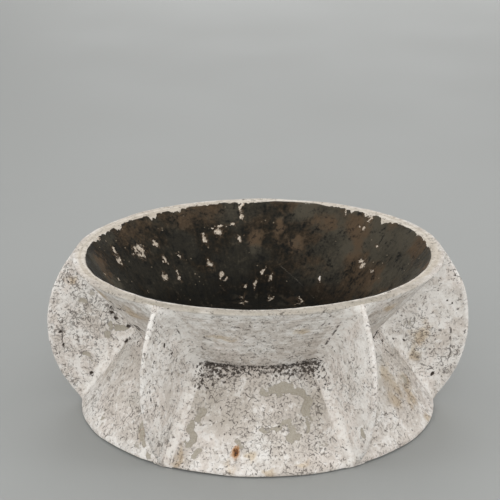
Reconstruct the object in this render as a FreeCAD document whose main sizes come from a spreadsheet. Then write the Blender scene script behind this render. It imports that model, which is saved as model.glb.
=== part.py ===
"""A floor planter: a conical bowl on a flared hollow skirt, pinched at the waist, with six radial fins.

The pieces are fibre-cement sheets and plates bedded in mortar, with a bitumen coat inside the bowl.
Millimetres, +Z up, the base on z = 0 and the axis of the bowl on Z.  The front faces -Y.
"""
import FreeCAD, Part
import os
import Sketcher

DIMENSIONS = {
    "overall_height": 313,  # floor to the top of the rim
    "rim_radius": 350,  # outside of the rim
    "rim_land": 4,  # upright edge at the top of the rim band
    "rim_band_height": 20,
    "rim_fall": 4,  # from the outer edge of the rim's top down to its inner edge
    "rim_round": 3,
    "waist_radius": 228,  # outside, where bowl and skirt meet
    "waist_height": 165,
    "base_radius": 342,
    "base_land": 8,  # upright edge at the foot of the skirt
    "base_round": 3,
    "wall_thickness": 19,  # across the bowl wall
    "skirt_thickness": 22,  # across the skirt
    "bed_thickness": 4,  # mortar between bowl and skirt
    "floor_radius": 184,  # inside the wall at the top of the bowl floor
    "floor_thickness": 24,
    "drain_radius": 15,
    "coat_thickness": 2,
    "coat_drop": 1,  # from the inner edge of the rim to the edge of the coat
    "coat_setback": 3,  # from the drain hole to the edge of the coat
    "fin_thickness": 12,
    "fin_bulge": 60,  # the crest's rise over a straight line from rim to base
    "fin_tip_drop": 3.5,  # from the top of the rim to the tip of a fin
    "fin_foot_lift": 4,  # from the ground to the foot of a fin
    "crest_round": 4,
    "cove_face_tip": 4,  # a cove's reach over the fin's face at rim and base
    "cove_face_waist": 40,
    "cove_wall_base": 14,  # a cove's reach over the wall at the base
    "cove_wall_waist": 20,
    "cove_wall_rim": 50,
    "cove_edge": 1,  # thickness of a cove at its feathered edges
    "cove_root": 6,  # how far a cove starts behind its seat before the seat is cut
    "nail_radius": 3,
    "nail_height": 38,
    "nail_bearing": 263,  # degrees from +X, just left of the front
    "joint_gap": 0.2,  # between pieces that seat on each other
}

# The fins in turn from +X, an equal step apart.
FIN_SIDES = ["right", "rear_right", "rear_left", "left", "front_left", "front_right"]
COVE_FLATS = 6  # trowelled flats that make the hollow of a cove

doc = FreeCAD.newDocument("planter")


def make_sheet():
    sheet = doc.addObject("Spreadsheet::Sheet", "dims")
    for row, (name, size) in enumerate(DIMENSIONS.items(), start=1):
        sheet.set(f"A{row}", name)
        sheet.set(f"B{row}", str(size))
        sheet.setAlias(f"B{row}", name)
    doc.recompute()
    return sheet


dims = make_sheet()


def value(expression):
    """The number that an expression over the sheet comes to."""
    return float(dims.evalExpression(expression))


# Levels and lines of the section, as expressions over the sheet.
GAP = "dims.joint_gap"
TOP = "dims.overall_height"
RIM_SHOULDER = "(dims.overall_height - dims.rim_land)"
BAND_FOOT = "(dims.overall_height - dims.rim_band_height)"
LIP = "(dims.overall_height - dims.rim_fall)"
WALL = "dims.wall_thickness"
SKIRT = "dims.skirt_thickness"
BOWL_SLOPE = f"((dims.rim_radius - dims.waist_radius) / ({RIM_SHOULDER} - dims.waist_height))"
SKIRT_SLOPE = "((dims.base_radius - dims.waist_radius) / (dims.waist_height - dims.base_land))"
BOWL_SPREAD = f"sqrt(1 + {BOWL_SLOPE}^2)"
SKIRT_SPREAD = f"sqrt(1 + {SKIRT_SLOPE}^2)"
FLOOR_EDGE = f"(dims.floor_radius + {WALL} * {BOWL_SPREAD})"
FLOOR_TOP = f"(dims.waist_height + ({FLOOR_EDGE} - dims.waist_radius) / {BOWL_SLOPE})"
FLOOR_UNDER = f"({FLOOR_TOP} - dims.floor_thickness)"


def bowl_radius(height, inward="0"):
    """Radius of the bowl's outer cone at a height, or of a cone that far inside it."""
    on_cone = f"dims.waist_radius + ({height} - dims.waist_height) * {BOWL_SLOPE}"
    return f"({on_cone} - ({inward}) * {BOWL_SPREAD})"


def skirt_radius(height, inward="0"):
    """Radius of the skirt's outer cone at a height, or of a cone that far inside it."""
    on_cone = f"dims.waist_radius - ({height} - dims.waist_height) * {SKIRT_SLOPE}"
    return f"({on_cone} - ({inward}) * {SKIRT_SPREAD})"


def waist_point(below_bowl, inside_skirt):
    """The point that far below the bowl's outer cone and that far inside the skirt's."""
    apart = f"({below_bowl}) * {BOWL_SPREAD} + ({inside_skirt}) * {SKIRT_SPREAD}"
    height = f"(dims.waist_height - ({apart}) / ({BOWL_SLOPE} + {SKIRT_SLOPE}))"
    return skirt_radius(height, inside_skirt), height


def origin_plane(body, role):
    for feature in body.Origin.OriginFeatures:
        if feature.Role == role:
            return feature
    raise ValueError(role)


def new_body(label):
    body = doc.addObject("PartDesign::Body", label)
    body.Label = label
    return body


def new_sketch(body, name, role, height=None):
    sketch = body.newObject("Sketcher::SketchObject", name)
    sketch.AttachmentSupport = [(origin_plane(body, role), "")]
    sketch.MapMode = "FlatFace"
    if height is not None:
        sketch.setExpression("AttachmentOffset.Base.z", height)
    return sketch


def drive(sketch, kind, geometry, end, expression):
    """Set one coordinate of a point, or a radius, from the sheet."""
    if kind == "Radius":
        index = sketch.addConstraint(Sketcher.Constraint(kind, geometry, value(expression)))
    else:
        index = sketch.addConstraint(Sketcher.Constraint(kind, -1, 1, geometry, end, value(expression)))
    sketch.setExpression(f"Constraints[{index}]", expression)


def pin(sketch, geometry, end, across, up):
    """Hold one point at two coordinates; a zero puts it on the axis."""
    if across == "0":
        sketch.addConstraint(Sketcher.Constraint("PointOnObject", geometry, end, -2))
    else:
        drive(sketch, "DistanceX", geometry, end, across)
    if up == "0":
        sketch.addConstraint(Sketcher.Constraint("PointOnObject", geometry, end, -1))
    else:
        drive(sketch, "DistanceY", geometry, end, up)


def join_ends(sketch, order):
    """Close a run of edges end to start."""
    for here, after in zip(order, order[1:] + order[:1]):
        sketch.addConstraint(Sketcher.Constraint("Coincident", here, 2, after, 1))


def draw_closed(sketch, points):
    """A closed straight-sided outline through pairs of coordinates."""
    corners = [FreeCAD.Vector(value(across), value(up), 0) for across, up in points]
    for start, end in zip(corners, corners[1:] + corners[:1]):
        sketch.addGeometry(Part.LineSegment(start, end), False)
    join_ends(sketch, list(range(len(points))))
    for index, (across, up) in enumerate(points):
        pin(sketch, index, 1, across, up)
    return sketch


def outline(body, name, points):
    """An outline in the radial plane: pairs of radius and height."""
    return draw_closed(new_sketch(body, name, "XZ_Plane"), points)


def level_outline(body, name, height, points):
    """An outline in a level plane: pairs of distance along +X and aside."""
    return draw_closed(new_sketch(body, name, "XY_Plane", height), points)


def turn(body, kind, name, sketch, axis="V_Axis"):
    """Revolve an outline, to add a ring or to cut one."""
    feature = body.newObject(f"PartDesign::{kind}", name)
    feature.Profile = sketch
    feature.ReferenceAxis = (sketch, [axis])
    feature.Angle = 360
    doc.recompute()
    return feature


def round_edges(body, name, radius, wanted):
    """Round the edges of the body's last feature that a test picks out."""
    base = body.Tip
    names = []
    for index, edge in enumerate(base.Shape.Edges, start=1):
        if wanted(edge):
            names.append(f"Edge{index}")
    if not names:
        raise ValueError(f"no edge to round for {name}")
    fillet = body.newObject("PartDesign::Fillet", name)
    fillet.Base = (base, names)
    fillet.setExpression("Radius", radius)
    doc.recompute()


def ring(label, points):
    body = new_body(label)
    turn(body, "Revolution", f"{label}_turned", outline(body, f"{label}_section", points))
    return body


def is_circle_at(height, radius=None):
    """A test for a full circle at a height, and of a radius where one is given."""
    def test(edge):
        if not isinstance(edge.Curve, Part.Circle) or not edge.isClosed():
            return False
        if abs(edge.Curve.Center.z - value(height)) > 0.01:
            return False
        return radius is None or abs(edge.Curve.Radius - value(radius)) < 0.01
    return test


def make_rim_band():
    lip_radius = bowl_radius(LIP, WALL)
    body = ring("rim_band", [
        (bowl_radius(BAND_FOOT), BAND_FOOT),
        ("dims.rim_radius", RIM_SHOULDER),
        ("dims.rim_radius", TOP),
        (lip_radius, LIP),
        (bowl_radius(BAND_FOOT, WALL), BAND_FOOT),
    ])
    round_edges(body, "rim_rounding", "dims.rim_round", is_circle_at(TOP))
    round_edges(body, "lip_rounding", "dims.rim_round", is_circle_at(LIP, lip_radius))
    return body


def make_bowl_wall():
    top = f"({BAND_FOOT} - {GAP})"
    return ring("bowl_wall", [
        (bowl_radius(FLOOR_UNDER), FLOOR_UNDER),
        (bowl_radius(top), top),
        (bowl_radius(top, WALL), top),
        (bowl_radius(FLOOR_UNDER, WALL), FLOOR_UNDER),
    ])


def make_bowl_floor():
    edge = f"{WALL} + {GAP}"
    return ring("bowl_floor", [
        ("dims.drain_radius", FLOOR_UNDER),
        (bowl_radius(FLOOR_UNDER, edge), FLOOR_UNDER),
        (bowl_radius(FLOOR_TOP, edge), FLOOR_TOP),
        ("dims.drain_radius", FLOOR_TOP),
    ])


def make_waist_bed():
    far_side = f"{GAP} + dims.bed_thickness"
    return ring("waist_bed", [
        waist_point(GAP, "0"),
        waist_point(GAP, SKIRT),
        waist_point(far_side, SKIRT),
        waist_point(far_side, "0"),
    ])


def nail_outline(body, name, radius, inner_end, outer_end):
    """Half of a pin square to the skirt, in the radial plane, and the line that it turns about."""
    def place(along, aside):
        across = f"(({along}) - ({aside}) * {SKIRT_SLOPE}) / {SKIRT_SPREAD}"
        up = f"(({along}) * {SKIRT_SLOPE} + ({aside})) / {SKIRT_SPREAD}"
        return f"({skirt_radius('dims.nail_height')} + {across})", f"(dims.nail_height + {up})"

    sketch = outline(body, name, [
        place(inner_end, "0"),
        place(outer_end, "0"),
        place(outer_end, radius),
        place(inner_end, radius),
    ])
    centre_line = Part.LineSegment(sketch.Geometry[0].StartPoint, sketch.Geometry[0].EndPoint)
    line = sketch.addGeometry(centre_line, True)
    sketch.addConstraint(Sketcher.Constraint("Coincident", line, 1, 0, 1))
    sketch.addConstraint(Sketcher.Constraint("Coincident", line, 2, 0, 2))
    return sketch


def face_nail(body):
    """Turn a body about Z until its radial plane lies on the nail's bearing."""
    body.Placement = FreeCAD.Placement(FreeCAD.Vector(), FreeCAD.Rotation(FreeCAD.Vector(0, 0, 1), 0))
    body.setExpression("Placement.Rotation.Angle", "dims.nail_bearing")


def make_skirt():
    bevel = f"2 * {GAP} + dims.bed_thickness"
    body = ring("skirt", [
        ("dims.base_radius", "0"),
        ("dims.base_radius", "dims.base_land"),
        waist_point(bevel, "0"),
        waist_point(bevel, SKIRT),
        (skirt_radius("0", SKIRT), "0"),
    ])
    round_edges(body, "base_rounding", "dims.base_round", is_circle_at("0", "dims.base_radius"))
    hole = nail_outline(body, "nail_hole_section", f"dims.nail_radius + {GAP}", f"-2 * {SKIRT}", SKIRT)
    turn(body, "Groove", "nail_hole", hole, "Axis0")
    face_nail(body)
    return body


def make_nail():
    body = new_body("nail")
    sketch = nail_outline(body, "nail_section", "dims.nail_radius", f"-1 * {SKIRT}", "0")
    turn(body, "Revolution", "nail_turned", sketch, "Axis0")
    face_nail(body)
    return body


def make_coat_wall():
    outer = f"{WALL} + {GAP}"
    inner = f"{WALL} + {GAP} + dims.coat_thickness"
    foot = f"({FLOOR_TOP} + 2 * {GAP} + dims.coat_thickness)"
    top = f"({LIP} - dims.coat_drop)"
    return ring("coat_wall", [
        (bowl_radius(foot, outer), foot),
        (bowl_radius(top, outer), top),
        (bowl_radius(top, inner), top),
        (bowl_radius(foot, inner), foot),
    ])


def make_coat_floor():
    edge = f"{WALL} + {GAP}"
    under = f"({FLOOR_TOP} + {GAP})"
    top = f"({FLOOR_TOP} + {GAP} + dims.coat_thickness)"
    hole = "(dims.drain_radius + dims.coat_setback)"
    return ring("coat_floor", [
        (hole, under),
        (bowl_radius(under, edge), under),
        (bowl_radius(top, edge), top),
        (hole, top),
    ])


# The crest of a fin is an arc through the top edge of the rim and the bottom edge of the base.
CHORD = f"sqrt((dims.rim_radius - dims.base_radius)^2 + {TOP}^2)"
CREST_RADIUS = f"(({CHORD}^2 / 4 + dims.fin_bulge^2) / (2 * dims.fin_bulge))"
CREST_SET_IN = f"({CREST_RADIUS} - dims.fin_bulge)"
CREST_ACROSS = f"((dims.rim_radius + dims.base_radius) / 2 - {CREST_SET_IN} * {TOP} / {CHORD})"
CREST_UP = f"({TOP} / 2 + {CREST_SET_IN} * (dims.rim_radius - dims.base_radius) / {CHORD})"


def fin_outline(body):
    """The plate before its seat is cut: the crest arc from ground to rim and three edges behind the wall."""
    back = f"(dims.waist_radius - {WALL})"
    low = FreeCAD.Vector(value("dims.base_radius"), 0, 0)
    high = FreeCAD.Vector(value("dims.rim_radius"), value(TOP), 0)
    back_high = FreeCAD.Vector(value(back), high.y, 0)
    back_low = FreeCAD.Vector(value(back), 0, 0)
    bulge = FreeCAD.Vector(value(f"{CREST_ACROSS} + {CREST_RADIUS}"), value(CREST_UP), 0)
    sketch = new_sketch(body, f"{body.Label}_section", "XZ_Plane")
    sketch.addGeometry(Part.Arc(low, bulge, high), False)
    sketch.addGeometry(Part.LineSegment(high, back_high), False)
    sketch.addGeometry(Part.LineSegment(back_high, back_low), False)
    sketch.addGeometry(Part.LineSegment(back_low, low), False)
    join_ends(sketch, [0, 1, 2, 3])
    pin(sketch, 0, 1, "dims.base_radius", "0")
    pin(sketch, 0, 2, "dims.rim_radius", TOP)
    pin(sketch, 2, 1, back, TOP)
    pin(sketch, 2, 2, back, "0")
    drive(sketch, "Radius", 0, None, CREST_RADIUS)
    return sketch


def cut_seat(body):
    """Cut away what stands inside the outer faces of rim, bowl and skirt, or beyond tip and foot."""
    outward = f"-1 * {GAP}"
    shoulder = f"({RIM_SHOULDER} - {GAP} * ({BOWL_SPREAD} - 1) / {BOWL_SLOPE})"
    land = f"(dims.base_land + {GAP} * ({SKIRT_SPREAD} - 1) / {SKIRT_SLOPE})"
    shift = f"({SKIRT_SPREAD} - {BOWL_SPREAD}) / ({BOWL_SLOPE} + {SKIRT_SLOPE})"
    waist = f"(dims.waist_height + {GAP} * {shift})"
    rim = f"(dims.rim_radius + {GAP})"
    base = f"(dims.base_radius + {GAP})"
    clear = "(dims.rim_radius + 2 * dims.fin_bulge)"
    tip = f"({TOP} - dims.fin_tip_drop)"
    sketch = outline(body, f"{body.Label}_seat", [
        ("0", "0"),
        (clear, "0"),
        (clear, "dims.fin_foot_lift"),
        (base, "dims.fin_foot_lift"),
        (base, land),
        (bowl_radius(waist, outward), waist),
        (rim, shoulder),
        (rim, tip),
        (clear, tip),
        (clear, TOP),
        ("0", TOP),
    ])
    turn(body, "Groove", f"{body.Label}_seated", sketch)


def make_fin(side, bearing):
    body = new_body(f"fin_{side}")
    pad = body.newObject("PartDesign::Pad", f"fin_{side}_plate")
    pad.Profile = fin_outline(body)
    pad.SideType = "Symmetric"
    pad.setExpression("Length", "dims.fin_thickness")
    doc.recompute()
    crest_radius = value(CREST_RADIUS)

    def on_crest(edge):
        return isinstance(edge.Curve, Part.Circle) and abs(edge.Curve.Radius - crest_radius) < 0.01

    round_edges(body, f"fin_{side}_crest", "dims.crest_round", on_crest)
    cut_seat(body)
    body.Placement.Rotation = FreeCAD.Rotation(FreeCAD.Vector(0, 0, 1), bearing)
    return body


def cove_section(body, name, height, wall, on_face, on_wall):
    """A level section of one cove: a hollow quarter of an ellipse, laid along the round wall."""
    face = f"(dims.fin_thickness / 2 + {GAP})"
    back = f"({wall} - dims.cove_root)"
    toe = f"({wall} + {on_face})"
    heel = f"({face} + {on_wall})"
    points = [(back, face), (toe, face)]
    for step in range(COVE_FLATS + 1):
        angle = f"({90 - 90 * step / COVE_FLATS} deg)"
        aside = f"({heel} - ({on_wall} - dims.cove_edge) * sin{angle})"
        rise = f"(dims.cove_edge + ({on_face} - dims.cove_edge) * (1 - cos{angle}))"
        points.append((f"(sqrt({wall}^2 - {aside}^2) + {rise})", aside))
    points.append((back, heel))
    return level_outline(body, name, height, points)


def make_cove():
    """The cove on one side of the fin that points along +X, from the base past the waist to the rim."""
    body = new_body("cove")
    tip_reach = "dims.cove_face_tip"
    waist_reach = "dims.cove_face_waist"
    sections = []
    for name, height, wall, on_face, on_wall in [
        ("cove_low", "dims.base_land", "dims.base_radius", tip_reach, "dims.cove_wall_base"),
        ("cove_mid", "dims.waist_height", "dims.waist_radius", waist_reach, "dims.cove_wall_waist"),
        ("cove_high", RIM_SHOULDER, "dims.rim_radius", tip_reach, "dims.cove_wall_rim"),
    ]:
        sections.append(cove_section(body, name, height, wall, on_face, on_wall))
    doc.recompute()
    loft = body.newObject("PartDesign::AdditiveLoft", "cove_run")
    loft.Profile = sections[0]
    loft.Sections = sections[1:]
    loft.Ruled = True
    doc.recompute()
    cut_seat(body)
    return body


def make_coves(cove, other_cove, side, bearing):
    """The pair of coves that belongs to one fin."""
    pair = doc.addObject("Part::Compound", f"coves_{side}")
    pair.Links = [cove, other_cove]
    pair.Placement.Rotation = FreeCAD.Rotation(FreeCAD.Vector(0, 0, 1), bearing)
    return pair


def make_pieces():
    pieces = [
        make_rim_band(),
        make_bowl_wall(),
        make_bowl_floor(),
        make_waist_bed(),
        make_skirt(),
        make_nail(),
        make_coat_wall(),
        make_coat_floor(),
    ]
    cove = make_cove()
    other_cove = doc.addObject("Part::Mirroring", "other_cove")
    other_cove.Source = cove
    other_cove.Normal = FreeCAD.Vector(0, 1, 0)
    for index, side in enumerate(FIN_SIDES):
        bearing = index * 360 / len(FIN_SIDES)
        pieces.append(make_fin(side, bearing))
        pieces.append(make_coves(cove, other_cove, side, bearing))
    doc.recompute()
    return pieces


def write_pieces(pieces):
    for thing in doc.Objects:
        if "Invalid" in thing.State or "Error" in thing.State:
            raise RuntimeError(f"{thing.Label} did not build")
    os.makedirs("parts", exist_ok=True)
    for piece in pieces:
        shape = piece.Shape
        if shape.isNull() or not shape.isValid() or not shape.Solids:
            raise RuntimeError(f"{piece.Label} is not a solid")
        shape.exportStep(f"parts/{piece.Label}.step")
        print(piece.Label, len(shape.Solids), round(shape.Volume / 1000, 2), "cm3")


write_pieces(make_pieces())
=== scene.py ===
import math

import bpy
import numpy as np
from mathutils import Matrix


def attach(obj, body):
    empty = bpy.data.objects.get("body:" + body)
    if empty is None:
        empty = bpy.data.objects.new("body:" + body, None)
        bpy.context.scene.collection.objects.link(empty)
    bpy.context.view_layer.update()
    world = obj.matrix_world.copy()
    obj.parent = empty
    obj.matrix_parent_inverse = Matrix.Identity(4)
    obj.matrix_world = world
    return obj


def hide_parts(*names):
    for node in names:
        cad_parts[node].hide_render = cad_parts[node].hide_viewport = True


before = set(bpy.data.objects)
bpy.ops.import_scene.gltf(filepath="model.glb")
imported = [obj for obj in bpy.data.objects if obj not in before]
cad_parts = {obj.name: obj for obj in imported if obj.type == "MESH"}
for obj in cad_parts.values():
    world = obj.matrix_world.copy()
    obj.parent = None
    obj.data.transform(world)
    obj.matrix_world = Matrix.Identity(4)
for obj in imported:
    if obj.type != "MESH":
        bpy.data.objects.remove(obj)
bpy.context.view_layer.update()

# Sizes of the planter in metres, as in the part's source, but for the worn edges, the lip and the fins' ends.
HEIGHT = 0.313
RIM_RADIUS = 0.350
RIM_SHOULDER = HEIGHT - 0.004
RIM_ROUND = 0.0034  # outer edge, worn
RIM_WEAR = 0.0012  # worn off the rim's top
LIP = HEIGHT - 0.0028  # inner edge, lower than the outer
BAND_FOOT = HEIGHT - 0.020
WAIST_RADIUS = 0.228
WAIST_HEIGHT = 0.165
BASE_RADIUS = 0.342
BASE_LAND = 0.008
BASE_ROUND = 0.0012
BASE_HOLLOW = 0.011  # how far the worn underside runs in before it rests on the floor
BASE_CLEAR = 0.0032  # height of that underside at its outer edge
WALL = 0.019
SKIRT = 0.022
BED = 0.004
GAP = 0.0002
COAT = 0.002
FLOOR_RADIUS = 0.184
FLOOR_THICKNESS = 0.024
DRAIN_RADIUS = 0.015
FIN_HALF = 0.006
FIN_TAPER = 0.0014  # thinner by twice this at the crest
FIN_BULGE = 0.060
FIN_TIP = HEIGHT - 0.0028
FIN_FOOT = 0.0008
NAIL_BEARING = 263
NAIL_HEIGHT = 0.038
FIN_SIDES = ["right", "rear_right", "rear_left", "left", "front_left", "front_right"]

# Reach of a mortar cove over the fin's face and over the wall, at the base, the waist and the rim.
COVE_HEIGHTS = [0, WAIST_HEIGHT, HEIGHT]
COVE_ON_FACE = [0.010, 0.040, 0.016]
COVE_ON_WALL = [0.014, 0.020, 0.050]
LEAN = 0.0096  # the rim is lower on the left by this share of the height, twice over

BOWL_SLOPE = (RIM_RADIUS - WAIST_RADIUS) / (RIM_SHOULDER - WAIST_HEIGHT)
SKIRT_SLOPE = (BASE_RADIUS - WAIST_RADIUS) / (WAIST_HEIGHT - BASE_LAND)
BOWL_SPREAD = math.hypot(1, BOWL_SLOPE)
SKIRT_SPREAD = math.hypot(1, SKIRT_SLOPE)
LIP_RADIUS = WAIST_RADIUS + (LIP - WAIST_HEIGHT) * BOWL_SLOPE - WALL * BOWL_SPREAD
FLOOR_TOP = WAIST_HEIGHT + (FLOOR_RADIUS + WALL * BOWL_SPREAD - WAIST_RADIUS) / BOWL_SLOPE
FLOOR_UNDER = FLOOR_TOP - FLOOR_THICKNESS
CHORD = math.hypot(RIM_RADIUS - BASE_RADIUS, HEIGHT)
CREST_RADIUS = (CHORD ** 2 / 4 + FIN_BULGE ** 2) / (2 * FIN_BULGE)
CREST_ACROSS = (RIM_RADIUS + BASE_RADIUS) / 2 - (CREST_RADIUS - FIN_BULGE) * HEIGHT / CHORD
CREST_UP = HEIGHT / 2 + (CREST_RADIUS - FIN_BULGE) * (RIM_RADIUS - BASE_RADIUS) / CHORD

AROUND = 880  # points round a turned piece
GRAIN = 0.0024  # spacing of points on a face in view
COARSE = 0.012  # spacing on a face that is out of sight
FIN_ROWS, FACE_STEPS = 136, 74
COVE_ROWS, COVE_STEPS = 128, 26
PIT_CELL = 0.012
HOLE_DEPTH = 0.003
CREAM_EDGE = 0.343  # how far out the bare cream band goes on the rim's top


def bowl_radius(height, inward=0.0):
    return WAIST_RADIUS + (height - WAIST_HEIGHT) * BOWL_SLOPE - inward * BOWL_SPREAD


def skirt_radius(height, inward=0.0):
    return WAIST_RADIUS - (height - WAIST_HEIGHT) * SKIRT_SLOPE - inward * SKIRT_SPREAD


def lining_radius(height, inward):
    """The inside of the bowl and its rim, less a thickness; past the lip it goes out over the rim's top."""
    over = np.clip(height - LIP, 0, None) * (RIM_RADIUS - LIP_RADIUS) / (HEIGHT - LIP)
    return bowl_radius(np.minimum(height, LIP), WALL + inward) + over


def waist_point(below_bowl, inside_skirt):
    """Where a line under the bowl's cone meets a line inside the skirt's."""
    drop = (below_bowl * BOWL_SPREAD + inside_skirt * SKIRT_SPREAD) / (BOWL_SLOPE + SKIRT_SLOPE)
    return skirt_radius(WAIST_HEIGHT - drop, inside_skirt), WAIST_HEIGHT - drop


def outer_radius(height):
    """The outside of rim, bowl and skirt."""
    cone = np.maximum(bowl_radius(height), skirt_radius(height))
    return np.minimum(cone, np.where(height > WAIST_HEIGHT, RIM_RADIUS, BASE_RADIUS))


def crest_radius(height):
    return CREST_ACROSS + np.sqrt(CREST_RADIUS ** 2 - (height - CREST_UP) ** 2)


# Noise that comes out the same on each run.
def lattice(x, y, z, seed):
    """A number from 0 to 1 for each lattice point."""
    mixed = x * np.uint32(374761393) + y * np.uint32(668265263) + z * np.uint32(2246822519)
    mixed = mixed + np.uint32(seed * 97 + 13)
    mixed = (mixed ^ (mixed >> np.uint32(13))) * np.uint32(1274126177)
    mixed = (mixed ^ (mixed >> np.uint32(15))) * np.uint32(2654435761)
    return (mixed ^ (mixed >> np.uint32(16))).astype(np.float64) / 4294967295.0


def split(points, size):
    """Lattice cell of each point, and its place in the cell."""
    scaled = points / size + 1000.0
    cell = np.floor(scaled)
    return cell.astype(np.int64).astype(np.uint32), scaled - cell


def noise(points, size, seed):
    """Smooth noise from -1 to 1 with lumps of about the given size."""
    cell, part = split(points, size)
    ease = part * part * part * (part * (part * 6 - 15) + 10)
    total = np.zeros(len(points))
    for corner in range(8):
        step = np.array([corner & 1, corner >> 1 & 1, corner >> 2 & 1], np.uint32)
        weight = np.abs(1.0 - step - ease).prod(axis=1)
        there = cell + step
        total += weight * lattice(there[:, 0], there[:, 1], there[:, 2], seed)
    return total * 2 - 1


def fractal(points, size, seed, octaves=3):
    total = np.zeros(len(points))
    for octave in range(octaves):
        total += noise(points, size / 2 ** octave, seed + octave) / 2 ** octave
    return total / (2 - 0.5 ** (octaves - 1))


def dents(points, size, share, seed):
    """Round dents from 0 to 1 deep, one in some cells of the given size."""
    cell, part = split(points, size)
    depth = np.zeros(len(points))
    for corner in range(27):
        step = np.array([corner % 3, corner // 3 % 3, corner // 9]) - 1
        there = cell + step.astype(np.int64).astype(np.uint32)
        draw = [lattice(there[:, 0], there[:, 1], there[:, 2], seed + turn) for turn in range(5)]
        middle = step + np.stack(draw[:3], axis=1)
        away = np.linalg.norm(part - middle, axis=1)
        wide = 0.14 + 0.24 * draw[3] ** 2
        depth = np.maximum(depth, np.where(draw[4] < share, np.clip(1.4 * (1 - away / wide), 0, 1), 0))
    return depth


def smooth(low, high, value):
    """0 below low, 1 above high and an eased slope between."""
    part = np.clip((value - low) / (high - low), 0, 1)
    return part * part * (3 - 2 * part)


def azimuth(points):
    """Degrees round from the front, positive to the right."""
    return np.degrees(np.arctan2(points[:, 0], -points[:, 1]))


def from_axis(points):
    return np.hypot(points[:, 0], points[:, 1])


def about_axis(points, wide, third):
    """Coordinates for noise that is drawn out round the axis."""
    turn = np.radians(azimuth(points))
    return np.stack([np.sin(turn) * wide, np.cos(turn) * wide, third], axis=1)


def place(angle, radius, height):
    """A point from an azimuth in degrees, and a radius and height in millimetres."""
    turn = math.radians(angle)
    return np.array([math.sin(turn) * radius, -math.cos(turn) * radius, height]) / 1000


def uneven(points):
    """How far a face laid by hand stands out from the true shape, in metres."""
    return fractal(points, 0.11, 3) * 0.0020 + fractal(points, 0.026, 7) * 0.0007


# Marks that the weather and the maker left. Azimuths are in degrees, the other numbers in millimetres.
def on_walls(outward, marks):
    """Marks of azimuth, radius, height and reach across and up, with one reach outward for all."""
    return [(*mark[:4], outward, mark[4]) for mark in marks]


def on_fins(across, marks):
    """Marks of azimuth, radius, height and reach outward and up, with one reach across for all."""
    return [(*mark[:3], across, *mark[3:]) for mark in marks]


# Bare cement.
BARE = on_walls(40, [
    (2.5, 257, 125, 13, 10), (7, 254, 129, 18, 13), (12, 257, 125, 19, 12), (17, 260, 121, 15, 14),
    (19, 271, 106, 11, 19), (18, 283, 88, 10, 17), (17, 295, 73, 8, 11), (6, 295, 74, 12, 6),
    (9.5, 293, 77, 12, 7), (11, 300, 67, 7, 8), (12.5, 305, 59, 12, 9), (-6, 307, 57, 11, 6),
    (2, 299, 69, 11, 5), (-20.6, 281, 92, 9, 14), (-21.5, 290, 80, 9, 13), (-23, 304, 60, 9, 15),
    (-24, 313, 48, 8, 12), (-20.5, 322, 34, 9, 7), (-43.5, 312, 48, 6, 16), (-41, 320, 36, 7, 14),
    (-38.5, 328, 25, 7, 12), (-36, 336, 13, 7, 9), (72, 290, 78, 12, 10), (128, 292, 74, 20, 13),
    (137, 300, 62, 13, 9), (176, 275, 96, 22, 12), (-171, 312, 44, 14, 8), (-118, 285, 84, 16, 14),
    (-124, 296, 70, 14, 9), (-63, 322, 28, 13, 9), (102, 318, 30, 18, 7),
]) + on_fins(20, [
    (29.3, 370, 76, 9, 16), (-88.8, 286, 161, 9, 10), (-88.8, 290, 142, 8, 11), (-88.9, 336, 211, 10, 7),
    (-89, 324, 95, 8, 9), (-146, 330, 232, 12, 14), (152, 340, 120, 10, 18), (-152, 352, 96, 9, 12),
]) + on_fins(14, [(-88.4, 260, 155, 16, 15)])
# Brown and yellow stains.
STAINS = on_walls(40, [
    (-24.5, 335, 12, 10, 18), (-25.5, 330, 24, 12, 22), (-3, 325, 32, 16, 16), (-9, 335, 18, 16, 10),
    (3.5, 338, 14, 16, 7), (14, 335, 19, 16, 7), (58, 295, 68, 26, 26), (63, 285, 85, 34, 34),
    (69, 305, 57, 30, 30), (73, 290, 77, 30, 26), (62, 265, 112, 28, 30), (70, 338, 10, 14, 12),
    (-41, 318, 40, 14, 24), (-12, 290, 246, 40, 9), (14, 300, 262, 30, 7), (-46, 308, 266, 50, 26),
    (-58, 326, 286, 40, 16), (46, 318, 276, 40, 18), (118, 310, 50, 30, 26), (-150, 310, 46, 24, 30),
    (178, 330, 14, 30, 12), (-100, 300, 70, 26, 20), (150, 300, 250, 50, 18), (-168, 296, 250, 60, 16),
    (100, 300, 250, 40, 18), (-112, 290, 240, 44, 20),
]) + on_fins(20, [
    (-89.2, 356, 254, 14, 14), (89, 318, 140, 24, 30), (89, 304, 102, 18, 22),
]) + on_fins(12, [(32, 345, 120, 14, 40)])
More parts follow.
